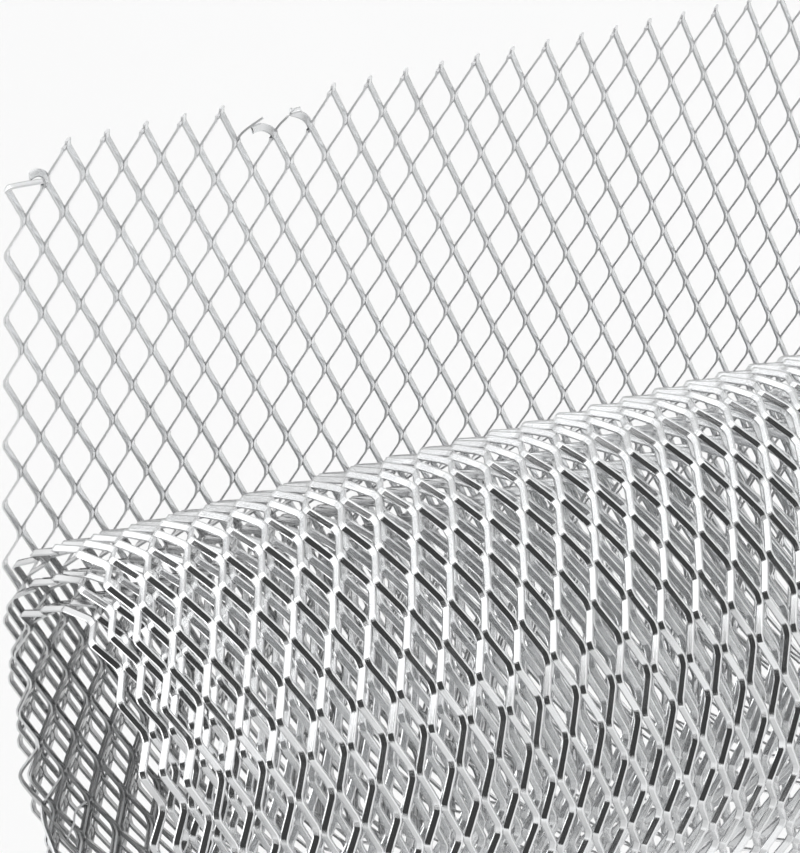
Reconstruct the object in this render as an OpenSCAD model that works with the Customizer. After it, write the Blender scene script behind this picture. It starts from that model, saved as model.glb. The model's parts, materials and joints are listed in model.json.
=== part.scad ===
// Car grille mesh sheet: one sheet of expanded aluminium diamond mesh, loosely rolled along its length,
// with its outer end left free as a flat flap. It stands on one end of the roll, and its mesh is kept plain.

/* [Sheet] */
// Length of the sheet before it is rolled
sheet_length = 1120; // [600:10:1300]
// Columns of diamonds across the sheet
mesh_columns = 40; // [10:1:60]
// Pitch of the diamonds across the sheet, their short way
mesh_short = 8.2; // [6:0.1:12]
// Pitch of the diamonds along the sheet, their long way
mesh_long = 16; // [12:0.5:24]
// Width of one strand
strand_width = 1.6; // [0.8:0.1:2]
// Thickness of the plain sheet
sheet_thickness = 1.2; // [0.8:0.1:1.4]

/* [Roll] */
// Outer turn, the long way across its oval
roll_width = 118.2; // [105:0.1:140]
// Outer turn, from where the flap begins up to its top, on the side of the flap's free edge
top_reach = 54; // [48:0.1:65]
// Outer turn, from where the flap begins down to its bottom, on the side away from the free edge
bottom_reach = 73.9; // [52:0.1:86]
// Length of the free end, from its cut edge to where the roll begins
flap_length = 111.4; // [50:0.1:160]
// Step inwards of each turn on the flap's side
back_step = 2.3; // [2:0.1:4]
// Step inwards of each turn on the side away from the flap
front_step = 13.2; // [8:0.1:15]
// Step inwards of each turn on the side of the flap's free edge
top_step = 10.8; // [4:0.1:12]
// Step inwards of each turn on the side away from the free edge
bottom_step = 4.8; // [3:0.1:6]
// Sag of each turn where its top goes over to the flap's side
top_sag = 6.9; // [0:0.1:9]

/* [Hidden] */

// A strand runs half a pitch each way, and its sides lie this far from its middle, along each pitch
strand_run = norm([mesh_short / 2, mesh_long / 2]);
side_short = strand_width * strand_run / mesh_long;
side_long = strand_width * strand_run / mesh_short;
sheet_width = mesh_columns * mesh_short + 2 * side_short;

// The cut edge runs through the middles of a row of strands, and below it the whole rows of the flap begin
first_row = flap_length - mesh_long / 2;
flap_rows = floor(first_row / mesh_long);

// The turns are one oval, deeper below than above, that shrinks and shifts evenly as it goes round, and
// sags in one quarter
turn_step = 7.5;
shrink_width = (front_step + back_step) / 2;
shrink_depth = (top_step + bottom_step) / 2;
shift_back = (front_step - back_step) / 2;
shift_up = (bottom_step - top_step) / 2;

// Point of the sheet's middle surface, at an angle turned from the flap's foot
function turn_point(angle) =
    let (
        turns = angle / 360,
        reach = sin(angle) > 0 ? bottom_reach : top_reach,
        sag = top_sag * pow(2 * max(0, -sin(angle)) * max(0, cos(angle)), 2)
    )
    [
        shift_up * turns - (reach - shrink_depth * turns) * sin(angle) - sag,
        shift_back * turns + (roll_width / 2 - shrink_width * turns) * cos(angle)
    ];

// Points round the turns, until the length that the flap leaves is used up
rolled_length = sheet_length - flap_length;
turn_points = [
    for (
        angle = 0, here = turn_point(0), used = 0, open = true;
        open;
        open = used < rolled_length,
        angle = angle + turn_step,
        next = turn_point(angle),
        stretch = norm(next - here),
        share = min(1, (rolled_length - used) / stretch),
        here = here + (next - here) * share,
        used = used + stretch
    )
    here
];
last_turn = len(turn_points) - 1;

// Direction of the sheet at each point, and the point on either face
function sheet_way(i) =
    i == 0 ? [-1, 0] : turn_points[min(i + 1, last_turn)] - turn_points[i - 1];
function face_point(i, side) =
    let (way = sheet_way(i) / norm(sheet_way(i)))
    turn_points[i] + side * sheet_thickness / 2 * [-way[1], way[0]];

// The flap's outline: tips and valleys along the cut edge, bulges and notches down each side
edge_points = [
    for (k = [0 : 2 * flap_rows])
    [first_row - k * mesh_long / 2, k % 2 == 0 ? 0 : mesh_short / 2]
];
function reversed(points) = [for (i = [len(points) - 1 : -1 : 0]) points[i]];
flap_outline = concat(
    [[0, 0]],
    reversed(edge_points),
    [
        for (i = [0 : mesh_columns - 1])
        let (tip = (i + 0.5) * mesh_short)
        each [
            [flap_length, tip],
            [flap_length, tip + 2 * side_short],
            if (i < mesh_columns - 1)
                [first_row + side_long, (i + 1) * mesh_short + side_short]
        ]
    ],
    [for (p = edge_points) [p[0], sheet_width - p[1]]],
    [[0, sheet_width]]
);

// The part is centred over the floor, whatever its sizes
outer_x = [for (i = [0 : last_turn]) for (side = [-1, 1]) face_point(i, side)[0]];
outer_y = [for (i = [0 : last_turn]) for (side = [-1, 1]) face_point(i, side)[1]];
middle_x = (min(outer_x) + flap_length) / 2;
middle_y = (min(outer_y) + max(outer_y)) / 2;

module flap() {
    translate([0, (roll_width + sheet_thickness) / 2, 0])
    rotate([90, 0, 0])
    linear_extrude(sheet_thickness)
    polygon(flap_outline);
}

module turns() {
    linear_extrude(sheet_width)
    polygon(concat(
        [for (i = [0 : last_turn]) face_point(i, 1)],
        [for (i = [last_turn : -1 : 0]) face_point(i, -1)]
    ));
}

module mesh_sheet() {
    color("silver")
    translate([-middle_x, -middle_y, 0]) {
        flap();
        turns();
    }
}

mesh_sheet();
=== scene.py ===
"""Loose roll of expanded aluminium mesh for a car's grille, with its free end standing up as a flat flap."""
import json
import math

import bpy
from bpy.props import FloatProperty, FloatVectorProperty, IntProperty, PointerProperty
from bpy.types import Operator, Panel, PropertyGroup
from mathutils import Matrix, Vector


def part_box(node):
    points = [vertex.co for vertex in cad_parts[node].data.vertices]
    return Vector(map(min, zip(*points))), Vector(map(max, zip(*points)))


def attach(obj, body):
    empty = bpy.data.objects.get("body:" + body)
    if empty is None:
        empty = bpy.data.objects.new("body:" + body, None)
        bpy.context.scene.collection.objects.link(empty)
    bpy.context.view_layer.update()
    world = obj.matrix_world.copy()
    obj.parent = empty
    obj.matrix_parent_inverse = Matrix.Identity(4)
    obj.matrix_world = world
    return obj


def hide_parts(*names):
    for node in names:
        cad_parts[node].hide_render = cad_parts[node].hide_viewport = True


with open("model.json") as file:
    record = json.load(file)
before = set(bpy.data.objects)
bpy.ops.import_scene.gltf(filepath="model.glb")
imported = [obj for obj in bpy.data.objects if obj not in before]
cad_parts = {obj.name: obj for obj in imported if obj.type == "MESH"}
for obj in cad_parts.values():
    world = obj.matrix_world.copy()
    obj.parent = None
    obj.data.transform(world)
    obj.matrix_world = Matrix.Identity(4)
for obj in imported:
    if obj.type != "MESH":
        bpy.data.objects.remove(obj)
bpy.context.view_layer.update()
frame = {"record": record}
BODY = "root"
mill_colour = tuple(frame["record"]["materials"][0]["base_color"])

bl_info = {
    "name": "Rolled Grille Mesh",
    "version": (1, 0, 0),
    "blender": (4, 5, 0),
    "location": "3D View > Sidebar > Grille Mesh",
    "description": "Makes a loose roll of expanded aluminium mesh with a flat free end",
    "category": "Add Mesh",
}

MM = 0.001
CAD_NODE = "mesh_sheet"

# Strips of strands in one column of diamonds, and rows of strands in one diamond
STRIPS_A_COLUMN = 2
ROWS_A_DIAMOND = 2

# Corners of a strand's section, as shares of its width and thickness, and the kinds of its faces
CORNERS = ((-0.5, -0.5), (0.5, -0.5), (0.5, 0.5), (-0.5, 0.5))
RING = len(CORNERS)
ROLLED, SLIT, LEFT_CAP, RIGHT_CAP = range(4)


# How much brighter the bright parts of the rolled faces are than the record's colour
MILL_GAIN = 1.1


# Sizes and colours that can be changed

class MeshSizes(PropertyGroup):
    """Sizes of the diamonds and of the strands between them."""

    short_pitch: FloatProperty(
        name="Short Pitch", description="Pitch of the diamonds across the sheet",
        default=8.2 * MM, min=4 * MM, max=20 * MM, unit="LENGTH", precision=5)
    long_pitch: FloatProperty(
        name="Long Pitch", description="Pitch of the diamonds along the sheet",
        default=16 * MM, min=8 * MM, max=40 * MM, unit="LENGTH", precision=5)
    columns: IntProperty(
        name="Columns", description="Diamonds across the sheet", default=40, min=4, max=80)
    strand_width: FloatProperty(
        name="Strand Width", description="Width of a strand, between its slit edges",
        default=1.6 * MM, min=0.5 * MM, max=3 * MM, unit="LENGTH", precision=5)
    strand_thickness: FloatProperty(
        name="Strand Thickness", description="Thickness of a strand",
        default=0.45 * MM, min=0.1 * MM, max=1 * MM, unit="LENGTH", precision=5)
    strand_tilt: FloatProperty(
        name="Strand Tilt", description="Angle at which the strands stand out of the sheet",
        default=math.radians(40), min=0, max=math.radians(70), subtype="ANGLE")
    bond_length: FloatProperty(
        name="Bond Length", description="Straight part where two strands are joined",
        default=0.9 * MM, min=0.5 * MM, max=4 * MM, unit="LENGTH", precision=5)
    tight_bend: FloatProperty(
        name="Tight Bend", description="Curved part of a strand beside the bond on its left",
        default=0.5 * MM, min=0.1 * MM, max=2 * MM, unit="LENGTH", precision=5)
    slow_bend: FloatProperty(
        name="Slow Bend", description="Curved part of a strand beside the bond on its right",
        default=1.3 * MM, min=0.2 * MM, max=5 * MM, unit="LENGTH", precision=5)
    cut_overhang: FloatProperty(
        name="Cut Overhang", description="How far one strand of each cut pair stands above the other",
        default=0.8 * MM, min=0, max=3 * MM, unit="LENGTH", precision=5)
    unevenness: FloatProperty(
        name="Unevenness", description="How far the strands wander from an even mesh",
        default=0.3 * MM, min=0, max=2 * MM, unit="LENGTH", precision=5)


class RollSizes(PropertyGroup):
    """Sizes of the roll and of the flap."""

    flap_length: FloatProperty(
        name="Flap Length", description="Free end, from its cut edge to where the roll begins",
        default=111.4 * MM, min=20 * MM, max=300 * MM, unit="LENGTH", precision=5)
    roll_width: FloatProperty(
        name="Roll Width", description="Outer turn, the long way across its oval",
        default=118.2 * MM, min=60 * MM, max=200 * MM, unit="LENGTH", precision=5)
    top_reach: FloatProperty(
        name="Top Reach", description="Outer turn, from where the flap begins up to its top",
        default=54 * MM, min=30 * MM, max=100 * MM, unit="LENGTH", precision=5)
    bottom_reach: FloatProperty(
        name="Bottom Reach", description="Outer turn, from where the flap begins down to its bottom",
        default=73.9 * MM, min=30 * MM, max=120 * MM, unit="LENGTH", precision=5)
    back_step: FloatProperty(
        name="Back Step", description="Step inwards of each turn on the flap's side",
        default=2.3 * MM, min=1 * MM, max=20 * MM, unit="LENGTH", precision=5)
    front_step: FloatProperty(
        name="Front Step", description="Step inwards of each turn on the side away from the flap",
        default=13.2 * MM, min=1 * MM, max=30 * MM, unit="LENGTH", precision=5)
    top_step: FloatProperty(
        name="Top Step", description="Step inwards of each turn towards the flap's free edge",
        default=10.8 * MM, min=1 * MM, max=30 * MM, unit="LENGTH", precision=5)
    bottom_step: FloatProperty(
        name="Bottom Step", description="Step inwards of each turn away from the free edge",
        default=4.8 * MM, min=1 * MM, max=30 * MM, unit="LENGTH", precision=5)
    top_sag: FloatProperty(
        name="Top Sag", description="Sag of each turn where its top goes over to the flap's side",
        default=6.9 * MM, min=0, max=15 * MM, unit="LENGTH", precision=5)
    flap_bow: FloatProperty(
        name="Flap Bow", description="How far the free edge of the flap leans over the roll",
        default=2.5 * MM, min=0, max=10 * MM, unit="LENGTH", precision=5)
    end_pinch: FloatProperty(
        name="End Pinch", description="Share by which the turns are drawn in at the open end",
        default=0.073, min=0, max=0.2, subtype="FACTOR")
    pinched_columns: FloatProperty(
        name="Pinched Columns", description="Columns of diamonds over which the open end is drawn in",
        default=8, min=1, max=20)


class FinishSettings(PropertyGroup):
    """Colours and gloss of the aluminium."""

    mill_tint: FloatVectorProperty(
        name="Mill Tint", description="Colour of the rolled faces",
        default=tuple(MILL_GAIN * c for c in mill_colour), min=0, max=1, subtype="COLOR")
    dull_tint: FloatVectorProperty(
        name="Dull Tint", description="Colour of the rolled faces where they are dull",
        default=(0.7, 0.705, 0.71), min=0, max=1, subtype="COLOR")
    # Painted shade: the darker colour given to the rolled faces deep inside the roll, where less light
    # reaches them
    painted_shade_tint: FloatVectorProperty(
        name="Inside Tint", description="Colour of the rolled faces inside, under a film of oil and dust",
        default=(0.42, 0.423, 0.426), min=0, max=1, subtype="COLOR")
    slit_tint: FloatVectorProperty(
        name="Slit Tint", description="Colour of the slit edges",
        default=(0.72, 0.725, 0.73), min=0, max=1, subtype="COLOR")
    mill_roughness: FloatProperty(
        name="Mill Roughness", description="Roughness of the rolled faces",
        default=0.13, min=0.05, max=1, subtype="FACTOR")
    slit_roughness: FloatProperty(
        name="Slit Roughness", description="Roughness of the slit edges",
        default=0.55, min=0.05, max=1, subtype="FACTOR")


class StudioSettings(PropertyGroup):
    """Floor, light and camera."""

    floor_size: FloatProperty(
        name="Floor Size", description="Side of the floor", default=12, min=2, max=50, unit="LENGTH")
    floor_tint: FloatVectorProperty(
        name="Floor Tint", description="Colour of the floor",
        default=(0.93, 0.93, 0.93), min=0, max=1, subtype="COLOR")
    ceiling_light: FloatProperty(
        name="Ceiling Light", description="Strength of the soft lamp straight above the floor",
        default=3.3, min=0, max=10)
    wall_light: FloatProperty(
        name="Wall Light", description="Strength of the light from the pale walls",
        default=1.1, min=0, max=5)
    lamp_light: FloatProperty(
        name="Lamp Light", description="Strength of the wide soft lamp above and behind the roll",
        default=1.75, min=0, max=10)
    bench_light: FloatProperty(
        name="Bench Light", description="Strength of the light from the shadowed side under the roll",
        default=0.75, min=0, max=5)
    shade_light: FloatProperty(
        name="Shade Light", description="Strength of the light from the dark corner of the room",
        default=0.055, min=0, max=5)


SETTINGS = {
    "grille_mesh": MeshSizes,
    "grille_roll": RollSizes,
    "grille_finish": FinishSettings,
    "grille_studio": StudioSettings,
}


# Help with nodes and objects

class Value:
    """A number in a node tree. Sums of such numbers add the nodes that work them out."""

    def __init__(self, tree, socket):
        self.tree = tree
        self.socket = socket

    def worked(self, operation, *others):
        node = self.tree.nodes.new("ShaderNodeMath")
        node.operation = operation
        for socket, item in zip(node.inputs, (self, *others)):
            feed(self.tree, socket, item)
        return Value(self.tree, node.outputs[0])

    def __add__(self, other):
        return self.worked("ADD", other)

    def __sub__(self, other):
        return self.worked("SUBTRACT", other)

    def __rsub__(self, other):
        return self.worked("MULTIPLY", -1).worked("ADD", other)

    def __mul__(self, other):
        return self.worked("MULTIPLY", other)

    def __rmul__(self, other):
        return self.worked("MULTIPLY", other)

    def __truediv__(self, other):
        return self.worked("DIVIDE", other)

    def equals(self, other):
        """1 where this whole number is the other, and else 0."""
        return self.worked("COMPARE", other, 0.5)

    def held(self):
        """The number, kept between 0 and 1."""
        return self.worked("MAXIMUM", 0).worked("MINIMUM", 1)


def feed(tree, socket, item):
    """Links a value or socket to an input, or sets the input to a plain number."""
    if isinstance(item, Value):
        tree.links.new(item.socket, socket)
    elif isinstance(item, bpy.types.NodeSocket):
        tree.links.new(item, socket)
    else:
        socket.default_value = item


def add_node(tree, kind, inputs=None, **settings):
    """A node with its settings, and its inputs fed by name or by place."""
    node = tree.nodes.new(kind)
    for name, setting in settings.items():
        setattr(node, name, setting)
    for name, item in (inputs or {}).items():
        feed(tree, node.inputs[name], item)
    return node


def parts_of(tree, vector):
    """The three parts of a vector, as values."""
    parts = add_node(tree, "ShaderNodeSeparateXYZ", {0: vector})
    return [Value(tree, socket) for socket in parts.outputs]


def stored_value(tree, name, kind):
    """A number stored on the mesh under a name, in a geometry tree."""
    return Value(tree, add_node(
        tree, "GeometryNodeInputNamedAttribute", {"Name": name}, data_type=kind).outputs[0])


def shader_value(tree, name):
    """A number stored on the mesh under a name, in a material's tree."""
    return Value(tree, add_node(tree, "ShaderNodeAttribute", {}, attribute_name=name).outputs["Fac"])


def add_input(tree, name, kind, default=None):
    """A named input of a tree or of a node group."""
    socket = tree.interface.new_socket(name, in_out="INPUT", socket_type="NodeSocket" + kind)
    if default is not None:
        socket.default_value = default


def add_object(name, data):
    """An object in the scene."""
    made = bpy.data.objects.new(name, data)
    bpy.context.scene.collection.objects.link(made)
    return made


# The strand, drawn once

# Where a strand's slow bend has its points, as shares of that bend
SLOW_STATIONS = (0, 0.35, 0.7)


def strand_stations(mesh):
    """Places along one strand from the bond on its left to the one on its right, with how far over it is
    at each and how steeply it goes over."""
    half = mesh.long_pitch / ROWS_A_DIAMOND
    bond = mesh.bond_length / 2 / half
    tight = mesh.tight_bend / half
    slow = mesh.slow_bend / half
    rise = 1 / (1 - 2 * bond - tight / 2 - slow / 2)
    stations = [(0, 0, 0), (bond, 0, 0), (bond + tight, rise * tight / 2, rise)]
    start = 1 - bond - slow
    for share in SLOW_STATIONS:
        over = 1 - rise * slow / 2 * (1 - share) ** 2
        stations.append((start + share * slow, over, rise * (1 - share)))
    return stations + [(1 - bond, 1, 0), (1, 1, 0)]


def strand_mesh(mesh):
    """One strand as a bar one unit long, wide and thick, with what its bends need kept on its points."""
    stations = strand_stations(mesh)
    points = [(x, along, z) for along, _, _ in stations for x, z in CORNERS]
    faces = []
    sides = []
    for step in range(len(stations) - 1):
        here = step * RING
        for corner in range(RING):
            after = (corner + 1) % RING
            faces.append((here + corner, here + corner + RING, here + after + RING, here + after))
            sides.append((ROLLED, SLIT)[corner % 2])
    last = len(points) - RING
    faces += [(0, 1, 2, 3), (last + 3, last + 2, last + 1, last)]
    sides += [LEFT_CAP, RIGHT_CAP]
    bar = bpy.data.meshes.new("strand")
    bar.from_pydata(points, [], faces)
    for edge in bar.edges:
        low, high = sorted(edge.vertices)
        edge.use_edge_sharp = high - low == RING or high < RING or low >= last
    over = bar.attributes.new("over", "FLOAT", "POINT")
    steep = bar.attributes.new("steep", "FLOAT", "POINT")
    for place in range(len(points)):
        _, over.data[place].value, steep.data[place].value = stations[place // RING]
    side = bar.attributes.new("side", "INT", "FACE")
    for place, kind in enumerate(sides):
        side.data[place].value = kind
    layer = bar.uv_layers.new(name="UVMap")
    for face in bar.polygons:
        for loop in face.loop_indices:
            x, y, z = bar.vertices[bar.loops[loop].vertex_index].co
            across = x if sides[face.index] == ROLLED else z
            layer.data[loop].uv = (across + 0.5, y)
    return bar


# The sheet, grown and rolled by Geometry Nodes

TREE_SIZES = (
    "Short Pitch", "Long Pitch", "Strand Width", "Strand Thickness", "Strand Tilt", "Cut Overhang",
    "Unevenness", "Flap Length", "Roll Width", "Top Reach", "Bottom Reach", "Width Shrink",
    "Depth Shrink", "Back Shift", "Up Shift", "Top Sag", "Flap Bow", "End Pinch", "Pinched Columns",
    "Middle X", "Middle Y", "Top",
)
TREE_COUNTS = (
    "Columns", "First Row", "Last Row", "Bent Corner Strips", "Bent Tip Strip", "Bent Tip Strips",
)

# The path has a point at each of these angles for this many turns, and begins this far beyond the cut edge
PATH_STEP = math.radians(3)
PATH_TURNS = 3.4
PATH_LEAD = 10 * MM

# Each piece of the sheet: its name, its first row of strands and the row after its last
SHEET_FIRST_ROW = -1
PIECES = (
    ("flap", SHEET_FIRST_ROW, 14),
    ("outer_turn_lower", 14, 39),
    ("outer_turn_upper", 39, 60),
    ("middle_turn", 60, 99),
    ("inner_turns", 99, 139),
)

# How far the large faces set the shading, at most 100, so that the strands look flat between their bends
FACE_WEIGHT = 100

# Strips whose cut ends are bent over at the flap's corner and part way along its edge
BENT_CORNER = 2
BENT_TIP = 12
BENT_TIPS = 4

# Thickness of the plain plate that stands for the mesh in the frame
PLATE = 1.2 * MM

# Part of a strand's length that counts as its very end at the cut edge
CUT_END = 0.01

# How many times in a metre the strands wander to and fro, and the seed of their wander
WANDER_SCALE = 90
SEED = 7

# Points closer to each other than this are one point
MERGE_DISTANCE = 0.001 * MM

# Where the mesh is drawn out less, or more if the last number is below 0: from and to which diamond along
# the sheet, and how much shorter the sheet is there
UNEVEN_ROWS = (
    (33.0, 37.5, 4.5 * MM),
    (44.5, 48.5, -4.5 * MM),
    (52.5, 57.0, -3.5 * MM),
)

# Painted shade: the walls on the flap's side are darkened as if in the roll's shade below this height over
# the flap's foot, and fully so this much further down
COVERED_BELOW = 45 * MM
COVERED_BLEND = 20 * MM

# Their painted shade ends at this column from the open end, and thins out over this many columns
PAINTED_SHADE_COLUMNS = 14
PAINTED_SHADE_BLEND = 8


def path_curve(tree, size):
    """The way that the sheet's middle takes: straight down the flap, then round a shrinking oval that is
    deeper below than above and sags in one quarter."""
    count = int(PATH_TURNS * 2 * math.pi / PATH_STEP)
    line = add_node(tree, "GeometryNodeMeshLine", {"Count": count})
    index = Value(tree, add_node(tree, "GeometryNodeInputIndex").outputs[0])
    angle = (index - 1) * PATH_STEP
    turns = angle / (2 * math.pi)
    below = angle.worked("SINE").worked("GREATER_THAN", 0)
    reach = size["Top Reach"] + (size["Bottom Reach"] - size["Top Reach"]) * below
    across = size["Depth Shrink"] * turns - reach
    top = (-1 * angle.worked("SINE")).worked("MAXIMUM", 0)
    back = angle.worked("COSINE").worked("MAXIMUM", 0)
    sag = size["Top Sag"] * (2 * top * back).worked("POWER", 2)
    x = size["Up Shift"] * turns + across * angle.worked("SINE") - sag
    along = size["Roll Width"] / 2 - size["Width Shrink"] * turns
    y = size["Back Shift"] * turns + along * angle.worked("COSINE")
    start = index.equals(0)
    turned = 1 - start
    place = add_node(tree, "ShaderNodeCombineXYZ", {
        "X": turned * x + start * (size["Flap Length"] + PATH_LEAD),
        "Y": turned * y + start * (size["Roll Width"] / 2),
    })
    bent = add_node(tree, "GeometryNodeSetPosition", {
        "Geometry": line.outputs[0], "Position": place.outputs[0]})
    return add_node(tree, "GeometryNodeMeshToCurve", {"Mesh": bent.outputs[0]}).outputs[0]


def sheet_tree():
    """Node tree that sets strands in rows, joins them to a sheet and lays the sheet along its path."""
    tree = bpy.data.node_groups.new("Rolled Mesh Sheet", "GeometryNodeTree")
    tree.is_modifier = True
    add_input(tree, "Geometry", "Geometry")
    for name in TREE_SIZES:
        add_input(tree, name, "Float")
    for name in TREE_COUNTS:
        add_input(tree, name, "Int")
    add_input(tree, "Seed", "Int", SEED)
    add_input(tree, "Rolled Faces", "Material")
    add_input(tree, "Slit Edges", "Material")
    tree.interface.new_socket("Geometry", in_out="OUTPUT", socket_type="NodeSocketGeometry")
    entry = tree.nodes.new("NodeGroupInput").outputs
    size = {name: Value(tree, entry[name]) for name in TREE_SIZES + TREE_COUNTS}

    # One point for each strand, which knows its strip and its row
    strips = size["Columns"] * STRIPS_A_COLUMN
    rows = size["Last Row"] - size["First Row"]
    points = add_node(tree, "GeometryNodePoints", {"Count": strips * rows})
    index = Value(tree, add_node(tree, "GeometryNodeInputIndex").outputs[0])
    strip = (index / rows).worked("FLOOR")
    row = index - strip * rows + size["First Row"]
    keep = add_node(tree, "GeometryNodeCaptureAttribute", {"Geometry": points.outputs[0]})
    keep.capture_items.new("FLOAT", "Strip")
    keep.capture_items.new("FLOAT", "Row")
    feed(tree, keep.inputs["Strip"], strip)
    feed(tree, keep.inputs["Row"], row)
    strip = Value(tree, keep.outputs["Strip"])
    row = Value(tree, keep.outputs["Row"])

    # The strands that are bent out of the sheet are left out here
    first = row.equals(SHEET_FIRST_ROW)
    corner = strip.worked("LESS_THAN", size["Bent Corner Strips"])
    tip = strip.worked("GREATER_THAN", size["Bent Tip Strip"] - 0.5)
    tip = tip * strip.worked("LESS_THAN", size["Bent Tip Strip"] + size["Bent Tip Strips"])
    whole = add_node(tree, "GeometryNodeDeleteGeometry", {
        "Geometry": keep.outputs["Geometry"], "Selection": first * (corner + tip)}, domain="POINT")
    copies = add_node(tree, "GeometryNodeInstanceOnPoints", {
        "Points": whole.outputs[0], "Instance": entry["Geometry"]})
    real = add_node(tree, "GeometryNodeRealizeInstances", {"Geometry": copies.outputs[0]})

    # A strand goes over to the right where strip and row are both even or both odd, and else it is turned
    # end for end
    odd = (strip + row).worked("FLOORED_MODULO", 2)
    way = 1 - 2 * odd

    # Strands are open tubes that follow on from each other, with a cap at both ends of the piece
    side = stored_value(tree, "side", "INT")
    left_cap = side.equals(LEFT_CAP)
    right_cap = side.equals(RIGHT_CAP)
    follows = row.worked("GREATER_THAN", size["First Row"] + 0.5)
    leads = row.worked("LESS_THAN", size["Last Row"] - 1.5)
    start_cap = (left_cap + (right_cap - left_cap) * odd) * follows
    end_cap = (right_cap + (left_cap - right_cap) * odd) * leads
    tubes = add_node(tree, "GeometryNodeDeleteGeometry", {
        "Geometry": real.outputs[0], "Selection": start_cap + end_cap}, domain="FACE", mode="ONLY_FACE")

    # Places on the drawn strand become places on the flat sheet: across it, along it and out of it
    across, along, depth = parts_of(tree, add_node(tree, "GeometryNodeInputPosition").outputs[0])
    along = along * way + odd
    depth = depth * way
    over = stored_value(tree, "over", "FLOAT")
    steep = stored_value(tree, "steep", "FLOAT")
    flat_share = size["Strand Tilt"].worked("COSINE")
    high_share = size["Strand Tilt"].worked("SINE")
    run = size["Short Pitch"] / STRIPS_A_COLUMN - size["Strand Width"] * flat_share
    half = size["Long Pitch"] / ROWS_A_DIAMOND
    middle_u = (strip * size["Short Pitch"] / STRIPS_A_COLUMN
                + size["Strand Width"] * flat_share / 2 + over * run)
    middle_n = size["Strand Width"] * high_share * (0.5 - over)
    slope = way * steep / half
    lean = slope * size["Strand Width"] * high_share * -1 * flat_share - slope * run * high_share
    thin = depth * size["Strand Thickness"] / (lean * lean + 1).worked("SQRT")
    wide = across * size["Strand Width"]
    at_start = along.worked("LESS_THAN", CUT_END)
    stand = first * (1 - odd) * at_start * size["Cut Overhang"]
    flat_u = middle_u + wide * flat_share - thin * high_share
    flat_v = (row + along) * half - thin * lean - stand
    flat_n = middle_n + wide * high_share + thin * flat_share

    # No strand is quite where an even mesh would have it
    flat_spot = add_node(tree, "ShaderNodeCombineXYZ", {"X": flat_u, "Y": flat_v})
    wander = add_node(tree, "ShaderNodeTexNoise", {
        "Vector": flat_spot.outputs[0], "W": entry["Seed"], "Scale": WANDER_SCALE, "Detail": 1},
        noise_dimensions="4D")
    drift_u, drift_v, drift_n = parts_of(tree, wander.outputs["Color"])
    flat_u = flat_u + (drift_u - 0.5) * size["Unevenness"]
    flat_v = flat_v + (drift_v - 0.5) * size["Unevenness"]
    flat_n = flat_n + (drift_n - 0.5) * size["Unevenness"]

    # The flat sheet is laid along the path, bowed at the flap and drawn in at the open end
    diamonds = flat_v / size["Long Pitch"]
    used = flat_v + half
    for low, high, less in UNEVEN_ROWS:
        used = used - ((diamonds - low) / (high - low)).held() * less
    sample = add_node(tree, "GeometryNodeSampleCurve", {
        "Curves": path_curve(tree, size), "Length": used + PATH_LEAD}, mode="LENGTH")
    path_x, path_y, _ = parts_of(tree, sample.outputs["Position"])
    course_x, course_y, _ = parts_of(tree, sample.outputs["Tangent"])
    rolled = used.worked("GREATER_THAN", size["Flap Length"])
    column = flat_u / size["Short Pitch"]
    near = ((size["Pinched Columns"] - column) / size["Pinched Columns"]).held()
    draw = 1 - size["End Pinch"] * near * rolled
    free = ((size["Flap Length"] - used) / size["Flap Length"]).worked("MAXIMUM", 0)
    foot_y = size["Roll Width"] / 2
    x = path_x * draw + course_y * flat_n
    y = foot_y + (path_y - foot_y) * draw - course_x * flat_n
    laid = add_node(tree, "ShaderNodeCombineXYZ", {
        "X": x - size["Middle X"],
        "Y": y - size["Middle Y"] - size["Flap Bow"] * free * free,
        "Z": size["Top"] - flat_u,
    })
    rolled_up = add_node(tree, "GeometryNodeSetPosition", {
        "Geometry": tubes.outputs[0], "Position": laid.outputs[0]})

    # Each strand's own tone and its painted shade inside the roll are stored for the materials
    strand = add_node(tree, "ShaderNodeCombineXYZ", {"X": strip, "Y": row})
    tone = add_node(
        tree, "ShaderNodeTexWhiteNoise", {"Vector": strand.outputs[0]}, noise_dimensions="3D")
    toned = add_node(tree, "GeometryNodeStoreNamedAttribute", {
        "Geometry": rolled_up.outputs[0], "Name": "strand_tone", "Value": tone.outputs["Value"]},
        data_type="FLOAT", domain="POINT")
    # Painted shade: a mask for the back walls low inside the roll, near its open end
    covered = (path_y * 2 / foot_y).held()
    below_top = ((COVERED_BELOW - path_x) / COVERED_BLEND).held()
    painted_shade = ((PAINTED_SHADE_COLUMNS - column) / PAINTED_SHADE_BLEND).held()
    inside = add_node(tree, "GeometryNodeStoreNamedAttribute", {
        "Geometry": toned.outputs[0], "Name": "inside", "Value": covered * below_top * rolled * painted_shade},
        data_type="FLOAT", domain="POINT")
    joined = add_node(tree, "GeometryNodeMergeByDistance", {
        "Geometry": inside.outputs[0], "Distance": MERGE_DISTANCE})
    smooth = add_node(tree, "GeometryNodeSetShadeSmooth", {"Geometry": joined.outputs[0]})
    faced = add_node(tree, "GeometryNodeSetMaterial", {
        "Geometry": smooth.outputs[0], "Material": entry["Rolled Faces"]})
    edged = add_node(tree, "GeometryNodeSetMaterial", {
        "Geometry": faced.outputs[0], "Selection": 1 - side.equals(ROLLED),
        "Material": entry["Slit Edges"]})
    tree.links.new(edged.outputs[0], tree.nodes.new("NodeGroupOutput").inputs[0])
    return tree


def turn_middle(roll):
    """Where the middle of the box lies from the foot of the flap and the middle of the outer oval."""
    low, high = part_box(CAD_NODE)
    skin = (high[1] - low[1]) / 2
    return roll.flap_length - high[0], roll.roll_width / 2 + PLATE / 2 - skin


def sheet_top(mesh):
    """Height of the sheet's side at the open end."""
    low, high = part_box(CAD_NODE)
    return (low[2] + high[2] + mesh.columns * mesh.short_pitch) / 2


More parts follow.
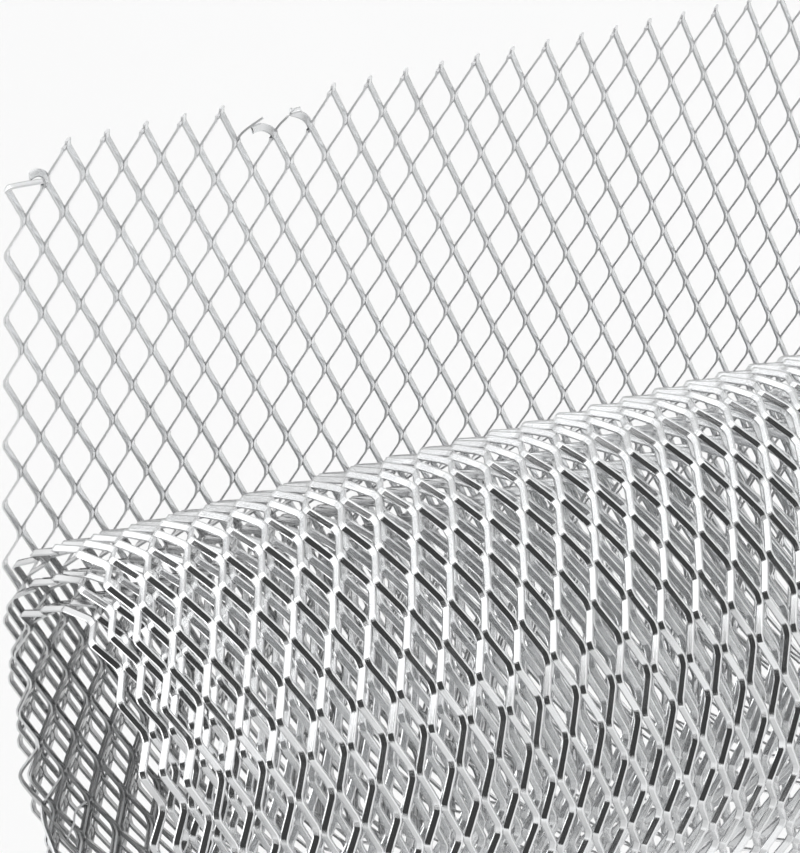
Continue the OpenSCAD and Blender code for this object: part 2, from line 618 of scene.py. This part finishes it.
def sheet_sizes(mesh, roll):
    """The tree's sizes, with the same middle and top as the frame."""
    middle_x, middle_y = turn_middle(roll)
    return {
        "Short Pitch": mesh.short_pitch,
        "Long Pitch": mesh.long_pitch,
        "Strand Width": mesh.strand_width,
        "Strand Thickness": mesh.strand_thickness,
        "Strand Tilt": mesh.strand_tilt,
        "Cut Overhang": mesh.cut_overhang,
        "Unevenness": mesh.unevenness,
        "Flap Length": roll.flap_length,
        "Roll Width": roll.roll_width,
        "Top Reach": roll.top_reach,
        "Bottom Reach": roll.bottom_reach,
        "Width Shrink": (roll.front_step + roll.back_step) / 2,
        "Depth Shrink": (roll.top_step + roll.bottom_step) / 2,
        "Back Shift": (roll.front_step - roll.back_step) / 2,
        "Up Shift": (roll.bottom_step - roll.top_step) / 2,
        "Top Sag": roll.top_sag,
        "Flap Bow": roll.flap_bow,
        "End Pinch": roll.end_pinch,
        "Pinched Columns": roll.pinched_columns,
        "Middle X": middle_x,
        "Middle Y": middle_y,
        "Top": sheet_top(mesh),
    }


# Strands that are bent out of the sheet

# Bent strands at the cut edge of the flap and at the inner end of the roll. Each goes through places on
# the sheet, given across it and along it in diamonds and outwards from it in millimetres
FLAP_BENDS = (
    ((1.0, 0.0, 0.0), (0.87, -0.03, -0.2), (0.45, -0.045, -0.3), (0.1, -0.04, -0.2), (0.0, 0.02, 0.3)),
    ((1.02, 0.03, -0.4), (0.96, -0.1, -0.6), (0.86, -0.18, -1.0), (0.68, -0.235, -1.6), (0.47, -0.24, -2.4)),
    ((6.0, 0.0, 0.2), (6.17, -0.12, 0.1), (6.4, -0.22, -0.2), (6.66, -0.3, -0.3)),
    ((7.02, 0.03, -0.4), (6.94, -0.06, -0.6), (6.75, -0.15, -0.8), (6.56, -0.19, -0.9), (6.34, -0.17, -0.8)),
    ((7.0, 0.0, 0.2), (7.16, -0.12, 0.1), (7.37, -0.23, 0.0)),
    ((8.02, 0.03, -0.4), (7.87, -0.13, -0.5), (7.66, -0.24, -0.7), (7.36, -0.32, -0.6)),
    ((7.38, -0.31, -0.6), (7.5, -0.32, -0.7), (7.64, -0.34, -1.0)),
)
INNER_BENDS = (
    ((0.5, 66.5, 0.0), (0.2, 66.65, -0.3), (-0.2, 66.83, -0.6), (-0.27, 66.95, -0.6), (-0.12, 67.15, -0.4),
     (0.15, 67.4, -0.2), (0.3, 67.65, -0.2), (0.5, 68.0, -0.2), (0.8, 68.4, -0.2)),
    ((1.0, 67.0, 0.0), (0.7, 67.15, -0.3), (0.2, 67.4, -0.2)),
    ((1.5, 67.5, 0.0), (1.0, 67.6, -0.3), (0.8, 67.8, -0.3), (0.5, 68.0, -0.2)),
    ((0.15, 67.4, -0.2), (0.05, 67.7, -0.8), (0.05, 68.1, -1.5), (0.0, 68.5, -2.0)),
)

# Which of the flap's bends is also twisted, and how far
TWISTED_BEND = 0
TWIST = math.radians(50)

# Points of a bend from each place to the next, and how many such stretches are as long as one strand
BEND_STEPS = 6
STRETCHES_A_STRAND = 2

# A bend's tone changes from point to point, in so many steps, from the first tone on and by this much
BEND_TONES = 5
BEND_FIRST_TONE = 0.5
BEND_TONE_RANGE = 0.2


def turn_point(roll, turned):
    """A point of the sheet's middle at an angle turned from the flap's foot."""
    turns = turned / (2 * math.pi)
    sag = roll.top_sag * (2 * max(0, -math.sin(turned)) * max(0, math.cos(turned))) ** 2
    up = (roll.bottom_step - roll.top_step) / 2 * turns
    reach = roll.bottom_reach if math.sin(turned) > 0 else roll.top_reach
    deep = reach - (roll.top_step + roll.bottom_step) / 2 * turns
    back = (roll.front_step - roll.back_step) / 2 * turns
    wide = roll.roll_width / 2 - (roll.front_step + roll.back_step) / 2 * turns
    return Vector((up - deep * math.sin(turned) - sag, back + wide * math.cos(turned), 0))


def sheet_spot(mesh, roll, across, along, out):
    """Where a place on the sheet lies, and the way out of the sheet there."""
    used = (along + 0.5) * mesh.long_pitch
    for low, high, less in UNEVEN_ROWS:
        used -= min(1, max(0, (along - low) / (high - low))) * less
    spot = Vector((roll.flap_length, roll.roll_width / 2, 0))
    step = 0
    while True:
        spot_after = turn_point(roll, step * PATH_STEP)
        length = (spot_after - spot).length
        if used <= length:
            break
        used -= length
        spot = spot_after
        step += 1
    course = (spot_after - spot).normalized()
    spot = spot + course * used
    outwards = Vector((course.y, -course.x, 0))
    foot_y = roll.roll_width / 2
    near = min(1, max(0, (roll.pinched_columns - across) / roll.pinched_columns))
    draw = 1 - roll.end_pinch * near * (step > 0)
    free = max(0, roll.flap_length - (along + 0.5) * mesh.long_pitch) / roll.flap_length
    middle_x, middle_y = turn_middle(roll)
    place = Vector((
        spot.x * draw - middle_x,
        foot_y + (spot.y - foot_y) * draw - middle_y - roll.flap_bow * free ** 2,
        sheet_top(mesh) - across * mesh.short_pitch,
    ))
    return place + outwards * out, outwards


def smooth_line(spots):
    """Points on a smooth line through some spots."""
    ends = [2 * spots[0] - spots[1], *spots, 2 * spots[-1] - spots[-2]]
    line = []
    for before, here, after, last in zip(ends, ends[1:], ends[2:], ends[3:]):
        for step in range(BEND_STEPS):
            share = step / BEND_STEPS
            line.append(0.5 * (
                2 * here + (after - before) * share
                + (2 * before - 5 * here + 4 * after - last) * share ** 2
                + (3 * here - before - 3 * after + last) * share ** 3))
    return line + [spots[-1]]


def make_bends(mesh, roll, materials, name, bends):
    """Strands that are bent out of the sheet, as one object."""
    points = []
    faces = []
    sides = []
    for bend in bends:
        placed = [sheet_spot(mesh, roll, across, along, out * MM) for across, along, out in bend]
        outwards = placed[0][1]
        wide = Vector((0, 0, -math.cos(mesh.strand_tilt))) + outwards * math.sin(mesh.strand_tilt)
        line = smooth_line([spot for spot, _ in placed])
        if bend is FLAP_BENDS[TWISTED_BEND]:
            wide = Matrix.Rotation(TWIST, 3, line[1] - line[0]) @ wide
        first = len(points)
        for step, spot in enumerate(line):
            course = (line[min(step + 1, len(line) - 1)] - line[max(step - 1, 0)]).normalized()
            wide = (wide - course * wide.dot(course)).normalized()
            thick = course.cross(wide)
            for x, z in CORNERS:
                points.append(spot + wide * x * mesh.strand_width + thick * z * mesh.strand_thickness)
            if step:
                here = first + (step - 1) * RING
                for corner in range(RING):
                    after = (corner + 1) % RING
                    faces.append((here + corner, here + after, here + after + RING, here + corner + RING))
                    sides.append((ROLLED, SLIT)[corner % 2])
        last = len(points) - RING
        faces += [(first + 3, first + 2, first + 1, first), (last, last + 1, last + 2, last + 3)]
        sides += [SLIT, SLIT]
    made = bpy.data.meshes.new(name)
    made.from_pydata(points, [], faces)
    layer = made.uv_layers.new(name="UVMap")
    for face in made.polygons:
        face.material_index = sides[face.index]
        face.use_smooth = True
        for loop in face.loop_indices:
            place = made.loops[loop].vertex_index
            x, z = CORNERS[place % RING]
            across = x if sides[face.index] == ROLLED else z
            layer.data[loop].uv = (across + 0.5, place // RING / BEND_STEPS / STRETCHES_A_STRAND)
    for edge in made.edges:
        low, high = sorted(edge.vertices)
        edge.use_edge_sharp = high - low == RING
    tone = made.attributes.new("strand_tone", "FLOAT", "POINT")
    inside = made.attributes.new("inside", "FLOAT", "POINT")
    for place in range(len(points)):
        share = place // RING % BEND_TONES / BEND_TONES
        tone.data[place].value = share * BEND_TONE_RANGE + BEND_FIRST_TONE
        # Painted shade: the inner end's bends are darkened fully, like the roll's inside
        inside.data[place].value = 1.0 if bends is INNER_BENDS else 0.0
    for finish in ("rolled", "slit"):
        made.materials.append(materials[finish])
    return add_object(name, made)


def finished_mesh(holder, name):
    """A plain mesh object made of what the holder's modifiers give, with the modifiers gone."""
    graph = bpy.context.evaluated_depsgraph_get()
    made = bpy.data.meshes.new_from_object(holder.evaluated_get(graph), depsgraph=graph)
    holder.modifiers.clear()
    made.name = name
    holder.data = made
    return holder


def make_sheet(mesh, roll, materials):
    """Every piece of the rolled sheet."""
    tree = sheet_tree()
    sockets = {item.name: item.identifier for item in tree.interface.items_tree if item.in_out == "INPUT"}
    bar = strand_mesh(mesh)
    pieces = []
    for name, first_row, last_row in PIECES:
        holder = add_object(name, bar)
        modifier = holder.modifiers.new("Rolled Mesh Sheet", "NODES")
        modifier.node_group = tree
        values = sheet_sizes(mesh, roll)
        values.update({
            "Columns": mesh.columns,
            "First Row": first_row,
            "Last Row": last_row,
            "Bent Corner Strips": BENT_CORNER,
            "Bent Tip Strip": BENT_TIP,
            "Bent Tip Strips": BENT_TIPS,
            "Rolled Faces": materials["rolled"],
            "Slit Edges": materials["slit"],
        })
        for label, value in values.items():
            modifier[sockets[label]] = value
        flat = holder.modifiers.new("Flat Middles", "WEIGHTED_NORMAL")
        flat.weight = FACE_WEIGHT
        flat.keep_sharp = True
        pieces.append(finished_mesh(holder, name))
    return pieces


# Finishes

ROLLED_FINISH = "Rolled Aluminium"
SLIT_FINISH = "Slit Edge"


def strand_map(tree):
    """Places across and along a strand's faces."""
    return add_node(tree, "ShaderNodeUVMap", {}, uv_map="UVMap").outputs[0]


def mixed(tree, share, tint, other_tint):
    """A colour between two others, each a tint or a socket."""
    colours = [item if isinstance(item, bpy.types.NodeSocket) else (*item, 1) for item in (tint, other_tint)]
    mix = add_node(tree, "ShaderNodeMix", {0: share, 6: colours[0], 7: colours[1]}, data_type="RGBA")
    return mix.outputs[2]


def new_material(name):
    """An empty node material with its shader and its output joined."""
    material = bpy.data.materials.new(name)
    material.use_nodes = True
    tree = material.node_tree
    tree.nodes.clear()
    shader = tree.nodes.new("ShaderNodeBsdfPrincipled")
    output = tree.nodes.new("ShaderNodeOutputMaterial")
    tree.links.new(shader.outputs[0], output.inputs[0])
    return material, tree, shader


# Streaks and cloudy mottle of the rolled faces and of the slit edges: how many streaks lie across a face,
# and how many clouds in a metre
ROLLED_STREAKS = 5
ROLLED_MOTTLE = 60
SLIT_STREAKS = 2
SLIT_MOTTLE = 150

# The streaks' own scale, and how far apart in them two strands of unlike tone are
STREAK_SCALE = 2
STREAK_APART = 50

# How far mottle, streaks and tone dull the rolled faces, and the dullness midway
DULL_MOTTLE = 0.9
DULL_STREAKS = 0.5
DULL_TONE = 0.3
DULL_MIDWAY = 0.55

# How much rougher the dullest faces are than the brightest, and how far those are below the mill roughness
DULL_ROUGHER = 0.2
BRIGHT_BELOW = 0.07

# Share of the painted shade where there is no mottle
PAINTED_SHADE_BASE = 0.5

# Share of the mill tint on the slit edges, and how far mottle changes it and streaks their roughness
SLIT_BRIGHT = 0.2
SLIT_BRIGHT_MOTTLE = 0.8
SLIT_ROUGHER = 0.2

# How strong the streaks stand out on either face, and how deep they are
ROLLED_BUMP = 0.35
ROLLED_DEPTH = 0.05 * MM
SLIT_BUMP = 0.4
SLIT_DEPTH = 0.03 * MM


def grain_group():
    """Shared effect: the streaks and the cloudy mottle that rolling and handling leave on aluminium."""
    group = bpy.data.node_groups.new("Rolled Grain", "ShaderNodeTree")
    add_input(group, "Streaks Across", "Float", ROLLED_STREAKS)
    add_input(group, "Mottle Scale", "Float", ROLLED_MOTTLE)
    for name in ("Streaks", "Mottle"):
        group.interface.new_socket(name, in_out="OUTPUT", socket_type="NodeSocketFloat")
    entry = group.nodes.new("NodeGroupInput").outputs
    spot = add_node(group, "ShaderNodeTexCoord").outputs["Object"]
    across, along, _ = parts_of(group, strand_map(group))
    drawn = add_node(group, "ShaderNodeCombineXYZ", {
        "X": across * entry["Streaks Across"],
        "Y": along,
        "Z": shader_value(group, "strand_tone") * STREAK_APART,
    })
    streaks = add_node(group, "ShaderNodeTexNoise", {
        "Vector": drawn.outputs[0], "Scale": STREAK_SCALE, "Detail": 3})
    mottle = add_node(group, "ShaderNodeTexNoise", {
        "Vector": spot, "Scale": entry["Mottle Scale"], "Detail": 2})
    leave = group.nodes.new("NodeGroupOutput")
    group.links.new(streaks.outputs["Fac"], leave.inputs["Streaks"])
    group.links.new(mottle.outputs["Fac"], leave.inputs["Mottle"])
    return group


# How far over a strand's faces lean at their rims, and what share of the width each rim takes
RIM_LEAN = 0.5
LEFT_RIM = 0.13
RIGHT_RIM = 0.2
RIM_BLEND = 0.05


def rounded_rims(tree, across):
    """A normal that leans outwards along both rims of a strand, where the slitting tool rounded them."""
    left = add_node(tree, "ShaderNodeMapRange", {
        "Value": across, "From Min": LEFT_RIM - RIM_BLEND, "From Max": LEFT_RIM + RIM_BLEND,
        "To Min": -RIM_LEAN, "To Max": 0.0})
    right = add_node(tree, "ShaderNodeMapRange", {
        "Value": across, "From Min": 1 - RIGHT_RIM - RIM_BLEND, "From Max": 1 - RIGHT_RIM + RIM_BLEND,
        "To Min": 0.0, "To Max": RIM_LEAN})
    lean = Value(tree, left.outputs[0]) + right.outputs[0]
    rise = (1 - lean * lean).worked("SQRT")
    colour = add_node(tree, "ShaderNodeCombineXYZ", {
        "X": lean * 0.5 + 0.5, "Y": 0.5, "Z": rise * 0.5 + 0.5})
    return add_node(tree, "ShaderNodeNormalMap", {"Color": colour.outputs[0]}, uv_map="UVMap").outputs[0]


def rolled_material(finish, grain):
    """Mill-finish faces: streaked, a little mottled, darkened inside the roll by painted shade and rounded
    along their rims.
    """
    _, tree, shader = new_material(ROLLED_FINISH)
    marks = add_node(tree, "ShaderNodeGroup", {}, node_tree=grain)
    streaks = Value(tree, marks.outputs["Streaks"])
    mottle = Value(tree, marks.outputs["Mottle"])
    tone = shader_value(tree, "strand_tone")
    across = parts_of(tree, strand_map(tree))[0]
    dull = (mottle - 0.5) * DULL_MOTTLE + (streaks - 0.5) * DULL_STREAKS + (tone - 0.5) * DULL_TONE
    dull = dull + DULL_MIDWAY
    # Painted shade inside the roll, broken up by the mottle
    painted_shade = shader_value(tree, "inside") * (mottle + PAINTED_SHADE_BASE)
    tint = mixed(tree, dull, finish.mill_tint, finish.dull_tint)
    feed(tree, shader.inputs["Base Color"], mixed(tree, painted_shade, tint, finish.painted_shade_tint))
    feed(tree, shader.inputs["Roughness"], dull * DULL_ROUGHER + (finish.mill_roughness - BRIGHT_BELOW))
    shader.inputs["Metallic"].default_value = 1
    bump = add_node(tree, "ShaderNodeBump", {
        "Height": streaks, "Strength": ROLLED_BUMP, "Distance": ROLLED_DEPTH,
        "Normal": rounded_rims(tree, across)})
    tree.links.new(bump.outputs[0], shader.inputs["Normal"])


def slit_material(finish, grain):
    """Sheared edges: duller than the rolled faces, with the tool's fine drag lines."""
    _, tree, shader = new_material(SLIT_FINISH)
    marks = add_node(tree, "ShaderNodeGroup", {
        "Streaks Across": SLIT_STREAKS, "Mottle Scale": SLIT_MOTTLE}, node_tree=grain)
    streaks = Value(tree, marks.outputs["Streaks"])
    mottle = Value(tree, marks.outputs["Mottle"])
    bright = (mottle - 0.5) * SLIT_BRIGHT_MOTTLE + SLIT_BRIGHT
    feed(tree, shader.inputs["Base Color"], mixed(tree, bright, finish.slit_tint, finish.mill_tint))
    feed(tree, shader.inputs["Roughness"], (streaks - 0.5) * SLIT_ROUGHER + finish.slit_roughness)
    shader.inputs["Metallic"].default_value = 1
    bump = add_node(tree, "ShaderNodeBump", {
        "Height": streaks, "Strength": SLIT_BUMP, "Distance": SLIT_DEPTH})
    tree.links.new(bump.outputs[0], shader.inputs["Normal"])


# Floor, light and camera

# The camera: where it stands, the picture's ways to the right and down, its lens and the width of its
# sensor in millimetres, and how near it sees
EYE = Vector((451.63, -467.0, 533.59)) * MM
PICTURE_RIGHT = Vector((0.06753, -0.44959, -0.89068))
PICTURE_DOWN = Vector((-0.79628, -0.56217, 0.22339))
LENS = 144.03
SENSOR = 36.0
NEAREST = 10 * MM

# Brightness of the floor's clouds as a share of the floor's, how many lie in a metre, and its roughness
CLOUD_SHARE = 0.98
CLOUD_SCALE = 3
FLOOR_ROUGHNESS = 0.9

# The dark corner of the room, its shadowed side, the wide lamp and the ceiling's lamp lie these ways from
# the roll. Each is whole within its core angle and ends at its edge angle
SHADE_WAY = Vector((0.47, -0.46, 0.755))
SHADE_CORE = math.radians(40)
SHADE_EDGE = math.radians(43)
BENCH_WAY = Vector((-0.9, 0.0, 0.44))
BENCH_CORE = math.radians(28)
BENCH_EDGE = math.radians(55)
LAMP_WAY = Vector((0.67, 0.56, 0.46))
LAMP_CORE = math.radians(35)
LAMP_EDGE = math.radians(62)
CEILING_WAY = Vector((-0.2, 0.15, 1.0))
CEILING_CORE = math.radians(15)
CEILING_EDGE = math.radians(32)


def make_floor(studio):
    """A wide pale floor at the roll's foot."""
    corners = [(studio.floor_size * x, studio.floor_size * y, 0) for x, y in CORNERS]
    plane = bpy.data.meshes.new("floor")
    plane.from_pydata(corners, [], [range(len(corners))])
    material, tree, shader = new_material("Pale Floor")
    spot = add_node(tree, "ShaderNodeTexCoord").outputs["Object"]
    cloud = add_node(tree, "ShaderNodeTexNoise", {"Vector": spot, "Scale": CLOUD_SCALE}).outputs["Fac"]
    darker = [CLOUD_SHARE * c for c in studio.floor_tint]
    feed(tree, shader.inputs["Base Color"], mixed(tree, cloud, studio.floor_tint, darker))
    shader.inputs["Roughness"].default_value = FLOOR_ROUGHNESS
    plane.materials.append(material)
    return add_object("floor", plane)


def blend_towards(tree, way, target, core, edge, near, far):
    """A strength that goes smoothly from far to near, the closer a direction comes to the target."""
    facing = add_node(
        tree, "ShaderNodeVectorMath", {0: way, 1: target.normalized()}, operation="DOT_PRODUCT")
    return add_node(tree, "ShaderNodeMapRange", {
        "Value": facing.outputs["Value"],
        "From Min": math.cos(edge), "From Max": math.cos(core),
        "To Min": far, "To Max": near}, interpolation_type="SMOOTHSTEP").outputs[0]


def light_room(studio):
    """Soft light from pale walls and two wide lamps, with a shadowed side and a dark corner that the shiny
    strands mirror."""
    world = bpy.data.worlds.new("studio")
    bpy.context.scene.world = world
    world.use_nodes = True
    tree = world.node_tree
    tree.nodes.clear()
    way = add_node(tree, "ShaderNodeTexCoord").outputs["Generated"]
    strength = studio.wall_light
    for target, core, edge, light in (
        (LAMP_WAY, LAMP_CORE, LAMP_EDGE, studio.lamp_light),
        (CEILING_WAY, CEILING_CORE, CEILING_EDGE, studio.ceiling_light),
        (BENCH_WAY, BENCH_CORE, BENCH_EDGE, studio.bench_light),
        (SHADE_WAY, SHADE_CORE, SHADE_EDGE, studio.shade_light),
    ):
        strength = blend_towards(tree, way, target, core, edge, light, strength)
    glow = add_node(tree, "ShaderNodeBackground", {"Color": (1, 1, 1, 1), "Strength": strength})
    output = tree.nodes.new("ShaderNodeOutputWorld")
    tree.links.new(glow.outputs[0], output.inputs[0])


def aim_camera():
    """The camera, where the photograph was taken from."""
    view = bpy.data.cameras.new("camera")
    view.lens = LENS
    view.sensor_width = SENSOR
    view.clip_start = NEAREST
    camera = add_object("camera", view)
    right = PICTURE_RIGHT.normalized()
    up = (-PICTURE_DOWN + PICTURE_DOWN.dot(right) * right).normalized()
    turned = Matrix((right, up, right.cross(up))).transposed()
    camera.matrix_world = Matrix.Translation(EYE) @ turned.to_4x4()
    bpy.context.scene.camera = camera


# Operators, panel and run

def finishes(scene):
    """Both finishes, made the first time that they are asked for."""
    if ROLLED_FINISH not in bpy.data.materials:
        grain = grain_group()
        rolled_material(scene.grille_finish, grain)
        slit_material(scene.grille_finish, grain)
    return {"rolled": bpy.data.materials[ROLLED_FINISH], "slit": bpy.data.materials[SLIT_FINISH]}


def put_in_place(piece):
    """Sets a piece on the frame's body, in place of its plain sheet."""
    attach(piece, BODY)
    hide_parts(CAD_NODE)


class GRILLE_OT_sheet(Operator):
    """Make the rolled sheet and its flap"""

    bl_idname = "grille.sheet"
    bl_label = "Rolled Sheet"

    def execute(self, context):
        scene = context.scene
        for piece in make_sheet(scene.grille_mesh, scene.grille_roll, finishes(scene)):
            put_in_place(piece)
        return {"FINISHED"}


class GRILLE_OT_bends(Operator):
    """Make the bent strands at the cut edge of the flap and at the inner end"""

    bl_idname = "grille.bends"
    bl_label = "Bent Strands"

    def execute(self, context):
        scene = context.scene
        for name, bends in (("flap_bends", FLAP_BENDS), ("inner_bends", INNER_BENDS)):
            put_in_place(make_bends(scene.grille_mesh, scene.grille_roll, finishes(scene), name, bends))
        return {"FINISHED"}


class GRILLE_OT_stage(Operator):
    """Make the floor, the light and the camera"""

    bl_idname = "grille.stage"
    bl_label = "Stage"

    def execute(self, context):
        studio = context.scene.grille_studio
        make_floor(studio)
        light_room(studio)
        aim_camera()
        context.scene.view_settings.view_transform = "Standard"
        return {"FINISHED"}


OPERATORS = (GRILLE_OT_sheet, GRILLE_OT_bends, GRILLE_OT_stage)


class GRILLE_PT_panel(Panel):
    """Lists what the add-on makes"""

    bl_label = "Grille Mesh"
    bl_idname = "GRILLE_PT_panel"
    bl_space_type = "VIEW_3D"
    bl_region_type = "UI"
    bl_category = "Grille Mesh"

    def draw(self, context):
        for name, group in SETTINGS.items():
            settings = getattr(context.scene, name)
            for field in group.__annotations__:
                self.layout.prop(settings, field)
        for operator in OPERATORS:
            self.layout.operator(operator.bl_idname)


CLASSES = (*SETTINGS.values(), *OPERATORS, GRILLE_PT_panel)


def register():
    """Add the settings, operators and panel to Blender."""
    for item in CLASSES:
        bpy.utils.register_class(item)
    for name, group in SETTINGS.items():
        setattr(bpy.types.Scene, name, PointerProperty(type=group))


def unregister():
    """Take the settings, operators and panel out of Blender again."""
    for name in SETTINGS:
        delattr(bpy.types.Scene, name)
    for item in reversed(CLASSES):
        bpy.utils.unregister_class(item)


def main():
    """Make everything in order."""
    register()
    bpy.ops.grille.sheet()
    bpy.ops.grille.bends()
    bpy.ops.grille.stage()


if __name__ == "__main__":
    main()
